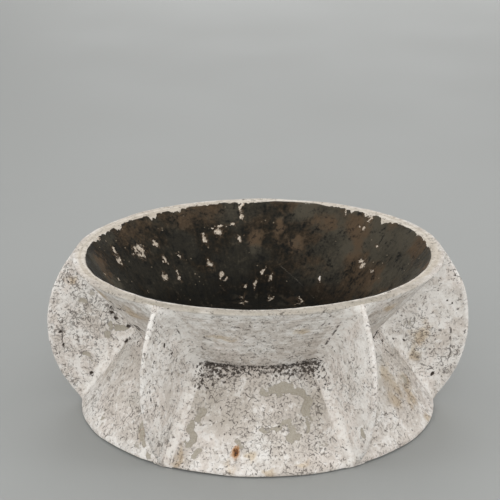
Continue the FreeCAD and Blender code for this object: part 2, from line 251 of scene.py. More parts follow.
# Black holes where grit and mortar fell out.
HOLES = on_walls(20, [
    (-55, 319, 272, 6, 5), (-61, 300, 250, 7, 5), (-55, 306, 257, 14, 4), (-51.5, 310, 262, 12, 3.5),
    (-54, 268, 213, 16, 9), (-57, 260, 203, 9, 6), (-85.4, 251, 132, 9, 4), (-84, 246, 140, 7, 3.4),
    (59.5, 264, 210, 10, 7), (62, 258, 203, 5, 3), (40.6, 325, 274, 2.4, 2.4), (76.6, 241, 145, 7, 3.6),
    (77.2, 252, 133, 5, 3), (11, 289, 236, 3, 2.4), (7, 300, 74, 2.4, 2.6), (-14.5, 276, 102, 2.4, 2.4),
    (-9, 268, 120, 2.4, 2.4), (-9.5, 301, 64, 2.4, 2.4), (124, 270, 205, 4, 4), (-131, 300, 240, 4, 4),
    (171, 252, 190, 4, 3), (-104, 300, 66, 3, 3), (160, 300, 66, 3, 3),
]) + on_fins(20, [
    (148, 362, 190, 3, 4), (-152, 350, 230, 3, 4),
]) + on_fins(14, [
    (-88.8, 281, 191, 5, 15), (-88.8, 274, 176, 4, 7), (-89.1, 381, 148, 5, 3.4),
    (-89.1, 376, 143, 2.4, 2.6), (-89.1, 374, 119, 2.2, 5), (-89, 322, 57, 4.4, 6),
    (-89.2, 360, 250, 2.4, 3), (88.6, 268, 185, 3, 3.4), (88.6, 255, 167, 2.4, 2.2),
    (87.3, 260, 132, 3, 2.6), (88.7, 282, 127, 2.6, 3), (89.2, 361, 207, 2.6, 3),
    (89.2, 371, 202, 2.4, 2.2), (89.4, 340, 55, 4.6, 5), (89.4, 383, 188, 2.6, 3), (-29.5, 367, 212, 3, 5),
    (-29.4, 379, 181, 3.4, 5), (-29.4, 380, 171, 2.6, 3), (-29.3, 381, 162, 3, 6),
    (-29.3, 380, 147, 3.6, 6), (-29.2, 334, 232, 4, 7), (-28.9, 312, 208, 3, 4), (-29.2, 345, 118, 3, 3),
    (-91, 350, 120, 3, 4),
]) + on_fins(12, [(-86.5, 248, 163, 12, 9)])
# Cracks and trowel lines, each a run of points: azimuth, radius, height.
CRACKS = [
    [(21.1, 340, 294), (19.7, 320, 272), (17.8, 301, 250)],
    [(25.7, 325, 274), (25.4, 297, 240), (25.3, 273, 213)],
    [(24.8, 309, 53), (26.6, 320, 40), (28.3, 329, 28)],
    [(18.4, 299, 67), (20.5, 308, 55)],
    [(-8.4, 324, 277), (-5, 325, 276), (-1.2, 325, 278)],
    [(-1.2, 335, 290), (3.2, 335, 290)],
    [(11.6, 322, 275), (14.2, 321, 273)],
    [(-7.5, 302, 252), (-4.3, 294, 242)],
    [(5.6, 274, 218), (9.4, 271, 214)],
    [(-18.7, 292, 240), (-15.8, 286, 233)],
    [(-16.8, 344, 302), (-12, 345, 303), (-7.5, 345, 304)],
    [(-29, 342, 277), (-27.6, 335, 276), (-26.8, 322, 266), (-27, 300, 244)],
    [(-29.2, 336, 233), (-28.9, 310, 206)],
    [(-89, 333, 93), (-89, 328, 76), (-89, 321, 61)],
    [(-89, 374, 182), (-89.1, 378, 150), (-89.2, 375, 104)],
    [(89.5, 370, 160), (89.5, 372, 103), (89.5, 368, 74)],
    [(72.6, 245, 141), (77, 265, 113), (80.7, 287, 83)],
    [(2, 320, 31), (11, 323, 27), (19, 325, 23)],
    [(150, 300, 250), (148.4, 318, 272), (146.5, 334, 290)],
    [(-162, 308, 52), (-166, 322, 34)],
    [(-140, 334, 290), (-141, 316, 268), (-142, 292, 241)],
    [(-91, 362, 250), (-91, 374, 214), (-91, 378, 180)],
    [(176, 318, 271), (-176, 319, 270)],
    [(112, 322, 276), (118, 321, 275)],
]
# Where the wash is rubbed thin.
RUBBED = on_walls(80, [
    (-10, 285, 92, 60, 46), (8, 275, 110, 50, 26), (-24, 330, 30, 16, 34), (60, 300, 70, 50, 60),
    (-130, 300, 60, 50, 40), (140, 280, 100, 60, 40), (180, 300, 60, 50, 40),
]) + on_fins(24, [
    (-91, 330, 190, 40, 50), (91, 350, 120, 40, 50),
]) + on_fins(20, [(31, 330, 150, 20, 50)])
# Soil and painted shade under the waist: middle of each panel, half its width in degrees, its strength.
SOIL_AND_SHADE = [(1, 27, 1.0), (60, 25, 0.45), (120, 25, 0.65), (180, 25, 0.8), (-120, 25, 0.55), (-60, 25, 0.35)]


def warped(points, size, reach):
    """Points pushed about, so that the marks set out on them get ragged outlines."""
    moved = points.copy()
    for axis in range(3):
        moved[:, axis] += fractal(points, size, 31 + 5 * axis, 4) * reach
    return moved


def blot(points, ragged, mark):
    """1 in the middle of a mark, falling past 0 at its ragged edge. Its reach is across, outward and up."""
    angle, radius, height, across, outward, up = mark
    away = points - place(angle, radius, height)
    turn = math.radians(angle)
    side = away[:, 0] * math.cos(turn) + away[:, 1] * math.sin(turn)
    out = away[:, 0] * math.sin(turn) - away[:, 1] * math.cos(turn)
    reach = np.sqrt((side / across) ** 2 + (out / outward) ** 2 + (away[:, 2] / up) ** 2) * 1000
    return 1 - reach + ragged


def blots(points, ragged, marks):
    total = np.full(len(points), -1.0)
    for mark in marks:
        total = np.maximum(total, blot(points, ragged, mark))
    return total


def line(points, run, wide):
    """1 along a run of points and 0 at the given distance from it."""
    nearest = np.full(len(points), 1.0)
    for start, end in zip(run, run[1:]):
        start, end = place(*start), place(*end)
        along = end - start
        share = np.clip((points - start) @ along / (along @ along), 0, 1)
        nearest = np.minimum(nearest, np.linalg.norm(points - start - share[:, None] * along, axis=1))
    return np.clip(1 - nearest / wide, 0, 1)


def soil_and_shade(points):
    """Dark grit and painted shade in the shelter of the waist, most at the ends of a panel."""
    angle = azimuth(points)
    drop = WAIST_HEIGHT - points[:, 2]
    total = np.zeros(len(points))
    for middle, half, strength in SOIL_AND_SHADE:
        off = (angle - middle + 180) % 360 - 180
        end = np.abs(off) / half
        under = 0.022 + 0.034 * end ** 2
        over = 0.004 + (0.013 + 0.010 * np.sign(off)) * end ** 3
        near = np.where(drop > 0, 1 - drop / under, 1 + drop / over)
        share = smooth(1.12, 0.94, end) * (0.70 + 0.30 * end) * strength
        total = np.maximum(total, np.clip(near, 0, 1) * share)
    return total


def streaks(points):
    """Fine lines that a trowel left round the bowl."""
    return fractal(about_axis(points, 3.2, points[:, 2] / 0.0042) + 40, 1.0, 61, 2)


def pit_depth(points, marks):
    return dents(points, PIT_CELL, np.clip(marks["pits"] - 0.12, 0, 1) * 0.7, 91) * 0.0014


def hole_depth(marks):
    return HOLE_DEPTH * smooth(0.2, 0.6, marks["hole"])


def weather(points):
    """The marks for each point of a limewashed face."""
    lumps = fractal(points, 0.018, 21) * 0.35
    ragged = warped(points, 0.024, 0.016)
    wavy = warped(points, 0.012, 0.004)
    crack = np.zeros(len(points))
    for run in CRACKS:
        crack = np.maximum(crack, line(wavy, run, 0.0044))
    region = fractal(points, 0.075, 41)
    height = points[:, 2]
    out = from_axis(points) - outer_radius(height)
    on_fin = smooth(0.012, 0.03, out)
    on_bowl = smooth(0.160, 0.175, height) * (1 - on_fin)
    left = smooth(-0.02, -0.22, points[:, 0])
    pits = 0.15 + 0.08 * smooth(0.20, 0.06, height) - 0.13 * on_bowl + 0.20 * on_fin * left + 0.50 * region
    worn = 0.43 + 0.12 * on_bowl - 0.38 * on_fin - 0.06 * smooth(0.08, 0.02, height)
    worn = worn + 0.75 * fractal(points, 0.055, 45)
    worn = worn + 0.75 * smooth(-0.1, 0.8, blots(ragged, lumps, RUBBED))
    grit = soil_and_shade(points) * (0.85 + 0.5 * fractal(points, 0.02, 51))
    return {
        "bare": blots(ragged, lumps, BARE),
        "stain": np.clip(blots(ragged, lumps, STAINS), 0, 1),
        "hole": blots(wavy, lumps, HOLES),
        "crack": crack,
        "soil_and_shade": grit * (1 - 0.85 * smooth(0.006, 0.03, out)),
        "pits": np.clip(pits, 0, 1),
        "worn": np.clip(worn, 0, 1),
        "streak": streaks(points) * on_bowl,
        "rust": blot(wavy, lumps, (-7.0, 318, 37, 12, 40, 15)),
    }


# A mesh is a grid of points, row by row.
def step_along(grid, axis, closed):
    if closed:
        return np.roll(grid, -1, axis) - np.roll(grid, 1, axis)
    return np.gradient(grid, axis=axis)


def pushed(grid, rows_close, amount):
    """The grid moved out along its normals. Its columns close into a ring."""
    normal = np.cross(step_along(grid, 1, True), step_along(grid, 0, rows_close))
    normal /= np.maximum(np.linalg.norm(normal, axis=2, keepdims=True), 1e-12)
    return grid + normal * amount.reshape(grid.shape[:2])[..., None]


def ring_faces(rows, columns, rows_close, first):
    """Faces of a grid whose columns close into a ring, and a chart of each face's corners."""
    row_count = rows if rows_close else rows - 1
    row = np.arange(row_count)[:, None] + np.zeros((1, columns), int)
    column = np.arange(columns)[None, :] + np.zeros((row_count, 1), int)
    next_row = (row + 1) % rows
    next_column = (column + 1) % columns
    faces = np.stack([
        row * columns + column,
        row * columns + next_column,
        next_row * columns + next_column,
        next_row * columns + column,
    ], axis=2).reshape(-1, 4) + first
    across = np.stack([column, column + 1, column + 1, column], axis=2) / columns
    along = np.stack([row, row, row + 1, row + 1], axis=2) / row_count
    chart = np.stack([across, along], axis=3).reshape(-1, 2)
    faces = faces.tolist()
    if not rows_close:
        faces.append((first + np.arange(columns))[::-1].tolist())
        faces.append((first + (rows - 1) * columns + np.arange(columns)).tolist())
        chart = np.concatenate([chart, np.full((columns, 2), 0.001), np.full((columns, 2), 0.999)])
    return faces, chart


def new_piece(name, grids, rows_close, marks):
    """One mesh from grids of points side by side, with a value per point for each mark."""
    faces = []
    charts = []
    first = 0
    for index, grid in enumerate(grids):
        some, chart = ring_faces(grid.shape[0], grid.shape[1], rows_close, first)
        faces += some
        charts.append((chart * [0.98, 1] + [0.01, 0]) * [1 / len(grids), 1] + [index / len(grids), 0])
        first += grid.shape[0] * grid.shape[1]
    points = leaned(np.concatenate([grid.reshape(-1, 3) for grid in grids]))
    mesh = bpy.data.meshes.new(name)
    mesh.from_pydata(points.tolist(), [], faces)
    mesh.polygons.foreach_set("use_smooth", np.ones(len(faces), bool))
    layer = mesh.uv_layers.new(name="OFBake")
    layer.data.foreach_set("uv", np.concatenate(charts).astype(np.float32).ravel())
    for mark, values in marks.items():
        attribute = mesh.attributes.new(mark, "FLOAT", "POINT")
        attribute.data.foreach_set("value", np.asarray(values, np.float32).ravel())
    mesh.update()
    mesh.set_sharp_from_angle(angle=math.radians(50))
    piece = bpy.data.objects.new(name, mesh)
    bpy.context.scene.collection.objects.link(piece)
    return piece


def dress(piece, material, slot, *nodes):
    piece.data.materials.append(material)
    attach(piece, "root")
    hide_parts(*nodes)


def walk(corners):
    """Points along a closed run of (radius, height, spacing) corners."""
    path = []
    for here, there in zip(corners, corners[1:] + corners[:1]):
        steps = max(1, round(math.dist(here[:2], there[:2]) / here[2]))
        for step in range(steps):
            share = step / steps
            path.append((here[0] + (there[0] - here[0]) * share, here[1] + (there[1] - here[1]) * share))
    return np.array(path)


def rounded(radius, height, turn_from, turn_to, size):
    """Corners of a rounded edge about a middle point."""
    corners = []
    for step in range(5):
        turn = math.radians(turn_from + (turn_to - turn_from) * step / 4)
        corners.append((radius + size * math.cos(turn), height + size * math.sin(turn), 0.002))
    return corners


def turned(path, steps=AROUND):
    """The grid that a closed path of (radius, height) makes when it turns about the axis."""
    turn = np.arange(steps) * 2 * math.pi / steps
    radius = path[:, 0][:, None]
    height = path[:, 1][:, None] + turn[None, :] * 0
    return np.stack([radius * np.sin(turn), -radius * np.cos(turn), height], axis=2)


def flat(grid):
    return grid.reshape(-1, 3)


def leaned(points):
    """The planter as it stands, a little lower on the left."""
    points[:, 2] *= 1 - LEAN * (1 - points[:, 0] / RIM_RADIUS).clip(0, 2)
    return points


def settle(grid):
    """Nothing stands above the rim's height or below the floor."""
    grid[..., 2] = np.clip(grid[..., 2], 0, HEIGHT)
    return grid


# The shader nodes of one material.
class Paint:
    def __init__(self, name):
        self.material = bpy.data.materials.new(name)
        self.material.use_nodes = True
        self.nodes = self.material.node_tree.nodes
        self.links = self.material.node_tree.links
        self.shader = self.nodes["Principled BSDF"]
        self.place = self.nodes.new("ShaderNodeTexCoord").outputs["Object"]

    def set(self, node, name, value):
        socket = node.inputs[name]
        if isinstance(value, bpy.types.NodeSocket):
            self.links.new(value, socket)
        else:
            socket.default_value = value

    def mark(self, name):
        node = self.nodes.new("ShaderNodeAttribute")
        node.attribute_name = name
        return node.outputs["Fac"]

    def texture(self, kind, size, at=None):
        """A texture with lumps or cells of about the given size in metres."""
        node = self.nodes.new("ShaderNodeTex" + kind)
        self.links.new(at or self.place, node.inputs["Vector"])
        node.inputs["Scale"].default_value = 1 / size
        return node

    def noise(self, size, detail=3.0, rough=0.55, warp=0.0):
        """Noise from 0 to 1."""
        node = self.texture("Noise", size)
        for name, value in (("Detail", detail), ("Roughness", rough), ("Distortion", warp)):
            node.inputs[name].default_value = value
        return node.outputs["Fac"]

    def cells(self, size, at=None):
        """Distance to the middle of a cell, and a random number for the cell."""
        node = self.texture("Voronoi", size, at)
        parts = self.nodes.new("ShaderNodeSeparateColor")
        self.links.new(node.outputs["Color"], parts.inputs["Color"])
        return node.outputs["Distance"], parts.outputs["Red"]

    def seams(self, size, at):
        """Distance from the lines between cells, in cells."""
        node = self.texture("Voronoi", size, at)
        node.feature = "DISTANCE_TO_EDGE"
        return node.outputs["Distance"]

    def bent(self, size, reach):
        """Coordinates pushed about by noise."""
        node = self.texture("Noise", size)
        node.inputs["Detail"].default_value = 3
        push = self.nodes.new("ShaderNodeVectorMath")
        push.operation = "MULTIPLY_ADD"
        self.links.new(node.outputs["Color"], push.inputs[0])
        push.inputs[1].default_value = (reach, reach, reach)
        self.links.new(self.place, push.inputs[2])
        return push.outputs["Vector"]

    def math(self, kind, *values):
        node = self.nodes.new("ShaderNodeMath")
        node.operation = kind
        for index, value in enumerate(values):
            self.set(node, index, value)
        return node.outputs[0]

    def plus(self, first, second):
        return self.math("ADD", first, second)

    def less(self, first, second):
        return self.math("SUBTRACT", first, second)

    def times(self, first, second):
        return self.math("MULTIPLY", first, second)

    def most(self, first, second):
        return self.math("MAXIMUM", first, second)

    def scaled(self, value, scale, base):
        return self.math("MULTIPLY_ADD", value, scale, base)

    def slope(self, value, low, high, start=0.0, end=1.0):
        """The start below low, the end above high and an eased slope between."""
        node = self.nodes.new("ShaderNodeMapRange")
        node.interpolation_type = "SMOOTHSTEP"
        names = ("Value", "From Min", "From Max", "To Min", "To Max")
        for name, part in zip(names, (value, low, high, start, end)):
            self.set(node, name, part)
        return node.outputs["Result"]

    def mix(self, amount, under, over, kind="MIX"):
        node = self.nodes.new("ShaderNodeMix")
        node.data_type = "RGBA"
        node.blend_type = kind
        node.clamp_factor = True
        for index, value in ((0, amount), (6, under), (7, over)):
            self.set(node, index, (*value, 1) if isinstance(value, tuple) else value)
        return node.outputs[2]

    def tint(self, colour, value, low, high, amount, tone):
        """The colour drawn towards a tone, by the amount at most, as the value goes from low to high."""
        return self.mix(self.slope(value, low, high, 0.0, amount), colour, tone)

    def bump(self, height, distance, strength=1.0, under=None):
        node = self.nodes.new("ShaderNodeBump")
        node.inputs["Strength"].default_value = strength
        node.inputs["Distance"].default_value = distance
        self.links.new(height, node.inputs["Height"])
        if under:
            self.links.new(under, node.inputs["Normal"])
        return node.outputs["Normal"]

    def finish(self, colour, rough, normal):
        self.links.new(colour, self.shader.inputs["Base Color"])
        self.set(self.shader, "Roughness", rough)
        self.links.new(normal, self.shader.inputs["Normal"])
        return self.material


def limewash():
    """Old limewash over grey fibre cement, crazed, worn through and pitted."""
    paint = Paint("limewash_on_cement")
    bent = paint.bent(0.012, 0.010)
    broad = paint.noise(0.085, 3)
    middle = paint.noise(0.026, 5, 0.62)
    mottle = paint.noise(0.013, 6, 0.72)
    small = paint.noise(0.0075, 4, 0.68)
    grit = paint.noise(0.0024, 2, 0.6)
    rough_grain = paint.noise(0.0042, 4, 0.75)
    wiped_and_highlight = paint.mark("wiped_and_highlight")
    streak = paint.mark("streak")
    worn = paint.mark("worn")

    # The wash is white where it is thick and beige where it is thin, and each flake has its own tone.
    thin = paint.plus(paint.times(middle, 0.4), paint.times(mottle, 0.6))
    thin = paint.scaled(worn, 0.09, thin)
    colour = paint.mix(paint.slope(broad, 0.40, 0.58), (0.706, 0.652, 0.603), (0.690, 0.660, 0.620))
    colour = paint.tint(colour, worn, 0.22, 0.70, 0.80, (0.585, 0.532, 0.478))
    colour = paint.tint(colour, thin, 0.535, 0.605, 0.46, (0.485, 0.435, 0.388))
    colour = paint.tint(colour, thin, 0.510, 0.450, 0.70, (0.800, 0.778, 0.745))
    tone = paint.cells(0.0085, bent)[1]
    colour = paint.tint(colour, tone, 0.5, 1.0, 0.14, (0.460, 0.425, 0.385))
    colour = paint.tint(colour, tone, 0.4, 0.0, 0.14, (0.840, 0.815, 0.780))
    colour = paint.tint(colour, rough_grain, 0.52, 0.72, 0.45, (0.420, 0.385, 0.350))
    colour = paint.tint(colour, rough_grain, 0.46, 0.30, 0.35, (0.840, 0.825, 0.800))
    lines = paint.times(paint.slope(streak, 0.22, 0.50), paint.slope(mottle, 0.46, 0.56))
    colour = paint.mix(paint.times(lines, 0.32), colour, (0.375, 0.325, 0.272))
    colour = paint.tint(colour, streak, -0.15, -0.60, 0.28, (0.745, 0.715, 0.675))
    # Painted highlight: the wash is drawn whiter along the fins' crests, in the coves and on the near rim,
    # partly a real wiped wash.
    chalk_and_highlight = paint.times(wiped_and_highlight, paint.slope(mottle, 0.42, 0.58, 1.0, 0.2))
    colour = paint.mix(paint.times(chalk_and_highlight, 0.75), colour, (0.800, 0.775, 0.735))

    cream = paint.mark("cream")
    tool = paint.mark("tool")
    band = paint.mix(paint.slope(tool, -0.45, 0.45), (0.560, 0.505, 0.430), (0.690, 0.640, 0.568))
    band = paint.mix(paint.slope(thin, 0.52, 0.60, 0.0, 0.45), band, (0.450, 0.400, 0.335))
    colour = paint.mix(cream, colour, band)

    stain_edge = paint.scaled(mottle, 0.9, paint.mark("stain"))
    stained = paint.slope(stain_edge, 0.45, 1.25, 0.0, 0.80)
    colour = paint.mix(stained, colour, (0.82, 0.71, 0.555), "MULTIPLY")

    flecks = paint.slope(paint.noise(0.030, 6, 0.66), 0.664, 0.680)
    flecks = paint.times(flecks, paint.slope(wiped_and_highlight, 0.0, 0.5, 0.75, 0.0))
    bare_edge = paint.plus(paint.mark("bare"), paint.scaled(mottle, 1.4, -0.70))
    bare = paint.most(paint.slope(bare_edge, 0.22, 0.27), flecks)
    cement = paint.mix(paint.slope(grit, 0.35, 0.65), (0.340, 0.305, 0.248), (0.420, 0.385, 0.322))
    colour = paint.mix(paint.times(bare, 0.92), colour, cement)
    colour = paint.mix(paint.times(paint.mark("raw_and_shade"), 0.92), colour, cement)

    # Crazing: the lines between flakes of two sizes, broken into dashes, and small pits.
    keep = paint.slope(wiped_and_highlight, 0.0, 1.0, 1.0, 0.15)
    wanted = paint.times(paint.mark("pits"), keep)
    patchy = paint.scaled(wanted, 0.22, paint.scaled(middle, 0.32, -0.160))
    wide_part = paint.plus(patchy, paint.noise(0.0070, 2, 0.5))
    wide_edge = paint.scaled(grit, 0.04, paint.seams(0.0135, bent))
    wide_lines = paint.times(paint.slope(wide_edge, 0.085, 0.050), paint.slope(wide_part, 0.60, 0.66))
    fine_part = paint.plus(patchy, paint.noise(0.0048, 2, 0.5, 0.3))
    fine_edge = paint.scaled(grit, 0.06, paint.seams(0.0074, bent))
    fine_lines = paint.times(paint.slope(fine_edge, 0.130, 0.070), paint.slope(fine_part, 0.59, 0.65))
    apart, draw = paint.cells(0.0050)
    chosen = paint.slope(paint.less(paint.scaled(patchy, 0.55, 0.03), draw), 0.0, 0.05)
    dots = paint.times(paint.slope(paint.scaled(grit, 0.4, apart), 0.48, 0.36), chosen)
    specks = paint.most(paint.times(wide_lines, 0.92), paint.times(fine_lines, 0.80))
    specks = paint.most(specks, dots)
    specks = paint.times(specks, paint.slope(paint.noise(0.016, 3), 0.38, 0.60, 0.45, 1.0))
    specks = paint.times(specks, paint.slope(bare, 0.0, 1.0, 1.0, 0.12))

    soiled_and_shaded = paint.mark("soil_and_shade")
    grain = paint.scaled(soiled_and_shaded, 0.21, paint.noise(0.0052, 3, 0.62))
    grime = paint.times(paint.slope(grain, 0.595, 0.655, 0.0, 0.95), paint.slope(soiled_and_shaded, 0.02, 0.14))
    # Soil and painted shade: a soft darkening over the soil mark, in the waist crease and behind the fins'
    # crests.
    soil_shade_haze = paint.slope(soiled_and_shaded, 0.1, 0.9, 0.0, 0.42)

    broken = paint.slope(paint.noise(0.0080, 2), 0.42, 0.55)
    crack = paint.times(paint.slope(paint.mark("crack"), 0.45, 0.78), broken)
    hole = paint.slope(paint.scaled(small, 0.9, paint.mark("hole")), 0.66, 0.84)
    dark = paint.most(paint.times(specks, 0.80), paint.times(crack, 0.85))
    dark = paint.most(dark, paint.most(grime, hole))
    colour = paint.mix(soil_shade_haze, colour, (0.300, 0.260, 0.228))
    colour = paint.mix(dark, colour, (0.062, 0.050, 0.042))

    rust = paint.scaled(small, 0.9, paint.mark("rust"))
    colour = paint.tint(colour, rust, 0.50, 1.10, 0.85, (0.46, 0.215, 0.070))
    colour = paint.tint(colour, rust, 1.02, 1.20, 0.90, (0.060, 0.022, 0.010))

    sunk = paint.most(specks, paint.most(crack, hole))
    relief = paint.scaled(sunk, -0.8, paint.times(mottle, 0.75))
    relief = paint.scaled(bare, -0.45, relief)
    relief = paint.scaled(grime, -0.35, relief)
    relief = paint.scaled(streak, 0.18, relief)
    relief = paint.scaled(paint.times(tool, cream), 0.35, relief)
    normal = paint.bump(relief, 0.0018, 0.9)
    normal = paint.bump(grit, 0.0004, 0.5, normal)
    rough = paint.slope(thin, 0.3, 0.7, 0.80, 0.95)
    paint.shader.inputs["Specular IOR Level"].default_value = 0.25
    return paint.finish(colour, rough, normal)


def bitumen():
    """Brushed bitumen, brown where it is thin, chipped to the cement."""
    paint = Paint("bitumen")
    broad = paint.noise(0.075, 3)
    middle = paint.noise(0.022, 5, 0.66, 0.4)
    small = paint.noise(0.0060, 5, 0.72)
    grit = paint.noise(0.0018, 2)
    brush = paint.mark("brush")
    deep = paint.plus(paint.times(middle, 0.55), paint.times(small, 0.45))
    deep = paint.scaled(brush, 0.055, deep)
    colour = paint.mix(paint.slope(broad, 0.36, 0.60), (0.0090, 0.0084, 0.0060), (0.0200, 0.0182, 0.0138))
    thin = paint.scaled(deep, 2.2, paint.mark("thin"))
    brown = paint.mix(paint.slope(broad, 0.42, 0.58), (0.098, 0.066, 0.040), (0.072, 0.063, 0.046))
    colour = paint.tint(colour, thin, 0.95, 1.90, 0.90, brown)
    # Darker towards the bottom of the bowl.
    colour = paint.tint(colour, paint.mark("darker_low"), 0.0, 1.0, 0.62, (0.0036, 0.0036, 0.0030))
    colour = paint.tint(colour, deep, 0.47, 0.37, 0.80, (0.0036, 0.0036, 0.0030))
    colour = paint.tint(colour, deep, 0.56, 0.68, 0.55, (0.062, 0.052, 0.039))
    apart, draw = paint.cells(0.0085)
    chosen = paint.slope(paint.less(paint.mark("fleck"), draw), 0.0, 0.05)
    flecks = paint.times(paint.slope(paint.scaled(grit, 0.4, apart), 0.42, 0.30), chosen)
    chip_edge = paint.plus(paint.mark("chip"), paint.scaled(small, 3.0, -1.5))
    chip = paint.slope(chip_edge, 0.30, 0.42)
    halo = paint.slope(chip_edge, -0.25, 0.36, 0.0, 0.55)
    colour = paint.mix(halo, colour, (0.100, 0.066, 0.040))
    colour = paint.mix(paint.times(flecks, 0.65), colour, (0.36, 0.29, 0.21))
    plaster = paint.mix(paint.slope(grit, 0.36, 0.60), (0.36, 0.275, 0.20), (0.70, 0.630, 0.53))
    colour = paint.mix(paint.times(chip, 0.92), colour, plaster)
    scratch = paint.slope(paint.mark("scratch"), 0.4, 0.9)
    scratch = paint.times(scratch, paint.slope(grit, 0.42, 0.6, 0.2, 0.7))
    colour = paint.mix(scratch, colour, (0.15, 0.135, 0.11))
    relief = paint.scaled(chip, -0.8, paint.times(middle, 0.6))
    relief = paint.scaled(small, 0.45, relief)
    relief = paint.scaled(brush, 0.25, relief)
    normal = paint.bump(relief, 0.0022, 1.0)
    normal = paint.bump(grit, 0.0005, 0.5, normal)
    rough = paint.most(paint.slope(middle, 0.35, 0.65, 0.58, 0.85), paint.times(chip, 0.9))
    paint.shader.inputs["Specular IOR Level"].default_value = 0.10
    return paint.finish(colour, rough, normal)


def raw_cement():
    """Grey fibre cement that was never limewashed."""
    pale, deep, size = (0.46, 0.44, 0.405), (0.37, 0.352, 0.32), 0.008
    paint = Paint("raw_cement")
    broad = paint.noise(size * 8, 3)
    small = paint.noise(size, 4, 0.65)
    grit = paint.noise(size / 4, 2)
    colour = paint.mix(paint.slope(broad, 0.35, 0.62), pale, deep)
    colour = paint.tint(colour, small, 0.52, 0.70, 0.5, tuple(0.55 * part for part in deep))
    apart, draw = paint.cells(size * 1.5)
    pits = paint.times(paint.slope(apart, 0.30, 0.14), paint.slope(draw, 0.66, 0.74))
    colour = paint.mix(paint.times(pits, 0.7), colour, tuple(0.25 * part for part in deep))
    relief = paint.scaled(pits, -0.8, small)
    normal = paint.bump(relief, 0.0016, 0.9)
    normal = paint.bump(grit, 0.0005, 0.5, normal)
    rough = paint.slope(small, 0.3, 0.7, 0.82, 0.96)
    paint.shader.inputs["Specular IOR Level"].default_value = 0.25
    return paint.finish(colour, rough, normal)


def rusted_iron():
    paint = Paint("rusted_iron")
    middle = paint.noise(0.0032, 4, 0.65)
    grit = paint.noise(0.0009, 3)
    colour = paint.mix(paint.slope(middle, 0.38, 0.60), (0.030, 0.012, 0.007), (0.255, 0.098, 0.028))
    colour = paint.tint(colour, grit, 0.58, 0.72, 0.7, (0.43, 0.205, 0.062))
    normal = paint.bump(paint.scaled(grit, 0.5, middle), 0.0012, 1.0)
    return paint.finish(colour, paint.slope(middle, 0.3, 0.7, 0.72, 0.95), normal)


def studio_floor():
    paint = Paint("studio_floor")
    broad = paint.noise(0.9, 3)
    grit = paint.noise(0.004, 2)
    colour = paint.mix(paint.slope(broad, 0.3, 0.7), (0.330, 0.342, 0.337), (0.352, 0.363, 0.357))
    return paint.finish(colour, paint.slope(broad, 0.3, 0.7, 0.62, 0.72), paint.bump(grit, 0.0002, 0.3))


LIMEWASH = limewash()
BITUMEN = bitumen()
RAW_CEMENT = raw_cement()


def make_rim_band():
    """The rim's top falls a little to the inside; both its edges are worn round."""
    fall = math.atan2(HEIGHT - LIP, RIM_RADIUS - LIP_RADIUS)
    sink = RIM_ROUND * (math.tan(fall) + 1 / math.cos(fall)) + RIM_WEAR
    corners = [(bowl_radius(BAND_FOOT), BAND_FOOT, GRAIN), (RIM_RADIUS, RIM_SHOULDER, 0.001)]
    corners += rounded(RIM_RADIUS - RIM_ROUND, HEIGHT - sink, 0, 90 + math.degrees(fall), RIM_ROUND)
    corners += [(LIP_RADIUS + 0.0022, LIP + 0.0002, 0.001), (LIP_RADIUS + 0.0006, LIP - 0.0004, 0.001)]
    corners += [(lining_radius(LIP - 0.002, 0), LIP - 0.002, GRAIN)]
    corners += [(bowl_radius(BAND_FOOT, WALL), BAND_FOOT, COARSE)]
    grid = turned(walk(corners))
    points = flat(grid)
    radius, height = from_axis(points), points[:, 2]
    marks = weather(points)
    on_top = height > LIP - 0.012
    near = smooth(0.12, 0.27, -points[:, 1])
    outer = CREAM_EDGE - near * (CREAM_EDGE - LIP_RADIUS - 0.007) + fractal(points, 0.03, 77) * 0.006
    marks["cream"] = np.where(on_top, np.clip((outer - radius) / 0.007 + 0.5, 0, 1), 0)
    # Painted shade: on the near side the rim's outer land and rounding are drawn darker, worn and raw.
    near_land_shade = near * (1 - marks["cream"]) * smooth(RIM_SHOULDER - 0.003, RIM_SHOULDER, height)
    marks["worn"] = np.maximum(marks["worn"], 0.8 * near_land_shade)
    marks["raw_and_shade"] = near_land_shade * (0.80 + 0.5 * fractal(points, 0.03, 79))
    # A whiter flare on the band beside each fin, partly painted highlight.
    beside = np.abs(azimuth(points) % 60 - 30)
    marks["wiped_and_highlight"] = 0.75 * smooth(4.5, 1.5, beside) * (1 - marks["cream"]) * smooth(0.311, 0.306, height)
    # Painted light: on the near side the band under the rim is drawn whiter and less worn.
    under = smooth(BAND_FOOT, BAND_FOOT + 0.009, height) * smooth(LIP, RIM_SHOULDER, height)
    near_band_light = near * under * smooth(-0.12, 0.16, fractal(points, 0.045, 83))
    marks["wiped_and_highlight"] = np.maximum(marks["wiped_and_highlight"], 0.85 * near_band_light)
    # Painted highlight on the near inner edge of the rim.
    inner_highlight = near * on_top * smooth(LIP_RADIUS + 0.0055, LIP_RADIUS + 0.0030, radius)
    marks["wiped_and_highlight"] = np.maximum(marks["wiped_and_highlight"], inner_highlight)
    marks["cream"] = marks["cream"] * (1 - 0.85 * inner_highlight)
    marks["worn"] = marks["worn"] * (1 - 0.7 * near * under) * (1 - 0.9 * inner_highlight)
    grooves = (radius - LIP_RADIUS) / 0.0046 + noise(points, 0.16, 71) * 0.9
    marks["tool"] = fractal(about_axis(points, 2.2, grooves) + 30, 1.0, 73, 2)
    bites = dents(points, 0.021, 0.10, 81) * smooth(0.0075, 0.002, HEIGHT - height)
    grid = pushed(grid, True, uneven(points) + marks["tool"] * marks["cream"] * 0.0003 - bites * 0.0022)
    piece = new_piece("rim_band_limed", [settle(grid)], True, marks)
    dress(piece, LIMEWASH, "rim", "rim_band")


